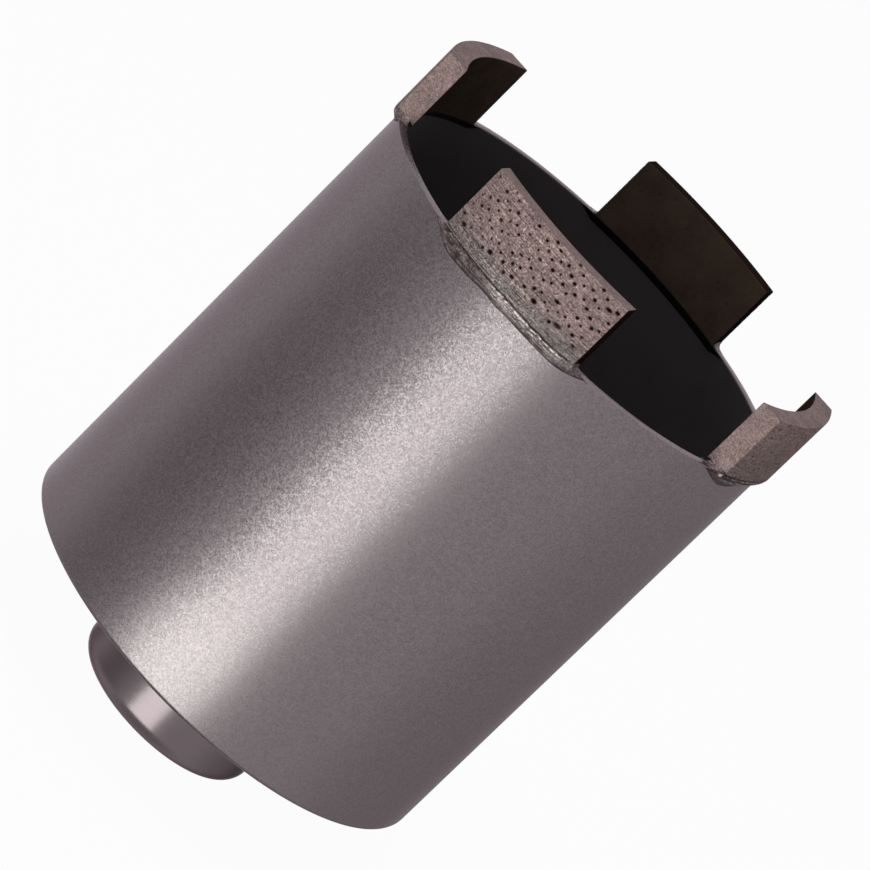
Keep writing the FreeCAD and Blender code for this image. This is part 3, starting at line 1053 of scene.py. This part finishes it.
def bright_threads(across, level, number):
    """Where the bright threads lie, from 0 to 1."""
    start, end = THREAD_RUNS[number]
    run = smoothstep(start - MM, start + MM, across)
    run *= smoothstep(end + 0.6 * MM, end - 0.6 * MM, across)
    total = np.zeros_like(level)
    for index, (height, strength) in enumerate(THREADS):
        seed = number * 7 + index * 3
        wander = THREAD_WANDER * wavy(across, 0.9 * MM, seed + 51)
        broken = smoothstep(-0.6, 0.5, wavy(across, 0.22 * MM, seed + 52))
        width = THREAD_WIDTH * (1 + 0.4 * wavy(across, 0.6 * MM, seed + 53))
        near = np.exp(-((level - RIM_LEVEL - height - wander) / width) ** 2)
        total = np.maximum(total, strength * run * broken * near)
    return total


# %% Fillet shades
EDGE_WIDTH = 0.45 * MM
TOP_EDGE_WIDTH = 0.16 * MM
TOP_EDGE_GAP = 0.1 * MM
GLINT_PLACE = 0.12 * MM


def end_glint(across, past, share, number):
    """The painted glint of the bead just past each end of the segment."""
    beads = np.where(across < 0, *END_BEADS_AND_GLINTS[number])
    glint = beads * np.exp(-((past - GLINT_PLACE) / GLINT_PLACE) ** 2) * (past > 0)
    return glint * (smoothstep(0.5, 0.65, share) * smoothstep(0.95, 0.8, share))


def torch_stain(across, level, number):
    """How dark the torch has left the braze."""
    stain = DARKNESS[number]
    if number == NEAR_SEGMENT:
        cloud = wavy(across, 0.8 * MM, number + 91, level, 0.45 * MM)
        stain = stain + 0.2 * smoothstep(4 * MM, 9 * MM, across)
        stain = stain + (0.5 + 0.4 * cloud) * smoothstep(0, -7 * MM, across)
    return stain


def dark_edges(across, past, bottom_gap, top_gap, number):
    """The dark lines along the lower and the upper edge of the braze."""
    wave = 1 + 0.5 * wavy(across, 0.8 * MM, number + 81)
    middle = smoothstep(-4 * MM, 2 * MM, across) * smoothstep(10 * MM, 8 * MM, across)
    lower = (0.9 - 0.35 * middle) * np.exp(-(bottom_gap / (EDGE_WIDTH * wave)) ** 2)
    upper = np.exp(-((top_gap - TOP_EDGE_GAP) / (TOP_EDGE_WIDTH * wave)) ** 2) * (past <= 0)
    return np.maximum(lower, upper)


# %% Fillets in place
OUTER_STEPS = 46
INNER_STEPS = (0.35, 0.65)


def outer_rows(across, past, fade, number):
    """The rows of a fillet that can be seen, with how bright and how dark each point is."""
    climb = upper_edge(across, past, number)
    drop = np.maximum(lower_edge(across, number), TIP_HEIGHT - climb)
    bottom = RIM_LEVEL - drop
    outward = np.where(past <= 0, 1.0, fade * np.exp(-(past / (0.5 * MM)) ** 1.2))
    outward = (BRAZE_FACE - BARREL_RADIUS) * outward
    rows = []
    shades = []
    for share in np.linspace(0, 1, OUTER_STEPS):
        level = bottom + (drop + climb) * share
        to_face = np.clip((level - bottom) / np.maximum(drop * 0.8, NEARLY), 0, 1)
        radius = BARREL_RADIUS + outward * to_face ** (0.85 / BULGES[number])
        radius += BRAZE_FILM * smoothstep(0, 0.2, fade) * min(1, 8 * share)
        threads = bright_threads(across, level, number) * (past <= 0)
        waves = wavy(across, 0.45 * MM, number + 71, level, 0.2 * MM)
        lift = THREAD_LIFT * threads + 0.02 * MM * waves * min(1, 6 * share)
        rows.append((np.minimum(radius + lift * fade, CUT_RADIUS), level))
        # bright holds the threads and the painted glint past each end
        bright = np.maximum(threads, end_glint(across, past, share, number))
        dark = dark_edges(across, past, level - bottom, RIM_LEVEL + climb - level, number)
        dark = np.maximum(dark, torch_stain(across, level, number))
        shades.append((bright, dark * (1 - bright)))
    return rows, shades, climb


def inner_rows(across, fade, climb):
    """The rows that pass through the metal and come back down inside the tube."""
    one = np.ones_like(across)
    inner_radius = BORE_RADIUS - (BORE_RADIUS - SEGMENT_BORE) * fade
    rows = [(CUT_RADIUS + (SEGMENT_BORE - CUT_RADIUS) * part * one, RIM_LEVEL + climb)
            for part in INNER_STEPS]
    rows.append((inner_radius, RIM_LEVEL + climb * 0.4))
    rows.append(((inner_radius + BORE_RADIUS) / 2, RIM_LEVEL - BRAZE_INNER_DROP * 0.5 * fade))
    rows.append((BORE_RADIUS * one, RIM_LEVEL - BRAZE_INNER_DROP * fade))
    rows.append(((BORE_RADIUS + BRAZE_ROOT) * one, RIM_LEVEL - BRAZE_ROOT * fade))
    return rows


def make_braze_fillet(number):
    """Sweeps closed loops along the foot of a segment, and closes both ends with a fan."""
    steps = np.append(np.arange(-BRAZE_TIP, BRAZE_TIP, BRAZE_STEP),
                      [BRAZE_TIP, SEGMENT_HALF_WIDTH, -SEGMENT_HALF_WIDTH])
    across = np.unique(np.round(steps, 8))
    past = np.clip(np.abs(across) - SEGMENT_HALF_WIDTH, 0, BRAZE_REACH)
    fade = 1 - (1 - TIP_SHARE) * past / BRAZE_REACH
    rows, shades, climb = outer_rows(across, past, fade, number)
    rows += inner_rows(across, fade, climb)

    loops = np.array([bent(number, across, radius, level) for radius, level in rows])
    points = np.concatenate([loops.reshape(-1, 3), loops[:, [0, -1]].mean(axis=0)])
    count = len(across)
    middle = len(rows) * count
    faces = list(grid_faces(len(rows), count, True, False))
    for row in range(len(rows)):
        after = (row + 1) % len(rows)
        faces.append((row * count, after * count, middle))
        faces.append((after * count + count - 1, row * count + count - 1, middle + 1))
    piece = make_piece("braze_%d" % (number + 1), points, faces, [silver_braze],
                       "braze_fillet_%d" % (number + 1))
    values = np.zeros((2, len(points)))
    values[:, :len(shades) * count] = np.array(shades).transpose(1, 0, 2).reshape(2, -1)
    point_values(piece, "bright", values[0])
    point_values(piece, "edge", values[1])


for number in range(SEGMENT_COUNT):
    make_braze_fillet(number)

# %% [markdown]
# ## Camera
# The camera looks slightly down on the bit and is rolled by about 45 degrees, so the
# upright bit leans across the picture with its cutting end to the upper right. A long
# lens from far away keeps the tube almost parallel.

# %% Camera
CAMERA_AIM = Vector((-0.174, -0.034, 54.089)) * MM
CAMERA_DISTANCE = 721.593 * MM
CAMERA_AZIMUTH = 11.106
CAMERA_ELEVATION = 16.733
CAMERA_ROLL = math.radians(45.490)
CAMERA_LENS = 229.026


def direction(azimuth, elevation):
    """The direction from the bit towards this azimuth and elevation, in degrees."""
    turn = math.radians(azimuth)
    rise = math.radians(elevation)
    return Vector((math.sin(turn) * math.cos(rise), -math.cos(turn) * math.cos(rise),
                   math.sin(rise)))


def make_camera():
    back = direction(CAMERA_AZIMUTH, CAMERA_ELEVATION)
    level = direction(CAMERA_AZIMUTH + 90, 0)
    right = level * math.cos(CAMERA_ROLL) + back.cross(level) * math.sin(CAMERA_ROLL)
    turn = Matrix((right, back.cross(right), back)).transposed()
    camera = new_object("camera", bpy.data.cameras.new("camera"))
    camera.data.lens = CAMERA_LENS
    camera.data.sensor_width = 36
    camera.data.clip_start = 0.05
    camera.data.clip_end = 50
    camera.matrix_world = Matrix.Translation(CAMERA_AIM + back * CAMERA_DISTANCE) @ turn.to_4x4()
    bpy.context.scene.camera = camera
    return camera


camera = make_camera()
print("camera at", [round(value / MM) for value in camera.matrix_world.translation])

# %% [markdown]
# ## Floor
# The floor is a plain white sheet. The camera sees it nearly white, with only a faint
# trace of the shadow. Other rays pass it by, so the bit is lit and mirrored as if it
# hung in a white room, and from below it doesn't hide the hub.

# %% Floor
FLOOR_SIZE = 8.0
FLOOR_GLOW = 0.96
FLOOR_MATT = (0.94, 0.94, 0.94, 1)
WHITE = (1, 1, 1, 1)


def make_sheet(name, width, height, material):
    """A flat sheet of the set, which matt light and shadows pass by."""
    x, y = width / 2, height / 2
    mesh = bpy.data.meshes.new(name)
    mesh.from_pydata([(-x, -y, 0), (x, -y, 0), (x, y, 0), (-x, y, 0)], [], [(0, 1, 2, 3)])
    mesh.materials.append(material)
    sheet = new_object(name, mesh)
    sheet.visible_diffuse = False
    sheet.visible_transmission = False
    sheet.visible_shadow = False
    return sheet


def mix_shaders(tree, share, first, second):
    return add(tree, "ShaderNodeMixShader", {
        0: share, 1: first.outputs[0], 2: second.outputs[0]})


def make_floor():
    material = bpy.data.materials.new("white_floor")
    tree, surface = bare_tree(material)
    matt = add(tree, "ShaderNodeBsdfDiffuse", {"Color": FLOOR_MATT})
    glow = add(tree, "ShaderNodeEmission", {"Color": WHITE, "Strength": 1.0})
    behind = add(tree, "ShaderNodeNewGeometry").outputs["Backfacing"]
    seen = mix_shaders(tree, behind, mix_shaders(tree, FLOOR_GLOW, matt, glow),
                       add(tree, "ShaderNodeBsdfTransparent"))
    tree.links.new(seen.outputs[0], surface)
    floor = make_sheet("floor", FLOOR_SIZE, FLOOR_SIZE, material)
    floor.visible_glossy = False
    return floor


floor = make_floor()
print("floor: %.0f m wide" % floor.dimensions.x)

# %% [markdown]
# ## Lamps
# One broad soft lamp makes the long highlight down the barrel. The bit stands upright
# here but leans in the picture, so the lamp that lies before it there hangs low here,
# a little below the horizon. A second soft lamp above gives the floor its shadow.

# %% Lamps
KEY_TINT = (0.92, 1.0, 0.935)
LAMP_DISTANCE = 1.2
# azimuth and elevation, width and height in metres, power and tint
LAMPS = {
    "key_lamp": (3.8, -17, 0.69, 1.1, 10.3, KEY_TINT),
    "top_lamp": (-20, 72, 1.0, 1.0, 6.9, WHITE[:3]),
}


def hang(thing, azimuth, elevation, distance, height=CAMERA_AIM.z):
    """Puts a lamp or card in this direction, facing the axis at this height."""
    back = direction(azimuth, elevation)
    thing.location = Vector((0, 0, height)) + back * distance
    thing.rotation_mode = "QUATERNION"
    thing.rotation_quaternion = back.to_track_quat("Z", "Y")
    thing.visible_camera = False
    return thing


def make_lamp(name, width, height, power, tint):
    """A soft rectangular lamp."""
    data = bpy.data.lights.new(name, "AREA")
    data.shape = "RECTANGLE"
    data.size = width
    data.size_y = height
    data.energy = power
    data.color = tint
    return new_object(name, data)


for name, (azimuth, elevation, *looks) in LAMPS.items():
    hang(make_lamp(name, *looks), azimuth, elevation, LAMP_DISTANCE)
print("lamps:", ", ".join(LAMPS))

# %% [markdown]
# ## Cards
# Metal is only as lively as what it mirrors, so a studio hangs cards round it. Each
# card here is a sheet that is fullest in its middle and fades to nothing at its edge,
# and only mirrored rays see it. Dark ones shade the left flank of the barrel, its two
# edges, the hub and the underside. A small bright one hangs low, close in front of
# the bit, and lifts the highlight where the barrel ends.

# %% Cards
CARD_DISTANCE = 1.0
# azimuth and elevation, width and height in metres, and how dark
CARDS = {
    "left_card": (-60, -17, 1.6, 1.7, 0.57),
    "edge_card": (-130, -17, 1.4, 1.7, 0.25),
    "right_card": (145, -24, 5.0, 1.7, 0.36),
    "back_card": (165, -24, 1.6, 1.7, 0.4),
    "low_card": (8, -68, 1.9, 1.7, 0.42),
}
# where the small bright card hangs, how large it is and how it glows
BRIGHT_AZIMUTH = 3.0
BRIGHT_DISTANCE = 0.059
BRIGHT_LEVEL = 0.006
BRIGHT_SIZE = (0.054, 0.034)
BRIGHT_GLOW = 5.9


def make_card(name, width, height, cover, glow=0.0, tint=WHITE[:3]):
    material = bpy.data.materials.new(name + "_cloth")
    tree, surface = bare_tree(material)
    place = tree.nodes.new("ShaderNodeTexCoord").outputs["Object"]
    share = vector_calc(tree, "MULTIPLY", place, (2 / width, 2 / height, 0.0))
    away = add(tree, "ShaderNodeVectorMath", {0: share}, operation="LENGTH").outputs["Value"]
    fade = add(tree, "ShaderNodeMapRange", {
        "Value": away, "From Min": 0.1, "From Max": 1.0, "To Min": cover, "To Max": 0.0},
        interpolation_type="SMOOTHSTEP").outputs[0]
    clear = add(tree, "ShaderNodeBsdfTransparent")
    cloth = add(tree, "ShaderNodeEmission", {"Color": (*tint, 1), "Strength": glow})
    tree.links.new(mix_shaders(tree, fade, clear, cloth).outputs[0], surface)
    return make_sheet(name, width, height, material)


for name, (azimuth, elevation, width, height, darkness) in CARDS.items():
    hang(make_card(name, width, height, darkness), azimuth, elevation, CARD_DISTANCE)
bright_card = make_card("bright_card", *BRIGHT_SIZE, 1.0, BRIGHT_GLOW, KEY_TINT)
hang(bright_card, BRIGHT_AZIMUTH, 0, BRIGHT_DISTANCE, BRIGHT_LEVEL)
print("cards:", ", ".join(CARDS), bright_card.name)

# %% [markdown]
# ## World
# The room is plain white, for the camera and for every mirrored ray. Its light on
# matt faces is lower, so that the lamps still model them.

# %% World
ROOM_FOR_MATT = 0.17


def make_world():
    world = bpy.data.worlds.new("white_room")
    tree, surface = bare_tree(world, "ShaderNodeOutputWorld")
    matt = add(tree, "ShaderNodeBackground", {"Color": WHITE, "Strength": ROOM_FOR_MATT})
    white = add(tree, "ShaderNodeBackground", {"Color": WHITE, "Strength": 1.0})
    path = tree.nodes.new("ShaderNodeLightPath").outputs
    direct = calc(tree, "MAXIMUM", path["Is Camera Ray"], path["Is Glossy Ray"])
    direct = calc(tree, "MAXIMUM", direct, path["Is Transmission Ray"])
    tree.links.new(mix_shaders(tree, direct, matt, white).outputs[0], surface)
    bpy.context.scene.world = world
    return world


world = make_world()
bpy.context.scene.view_settings.view_transform = "Standard"
print("world:", world.name)
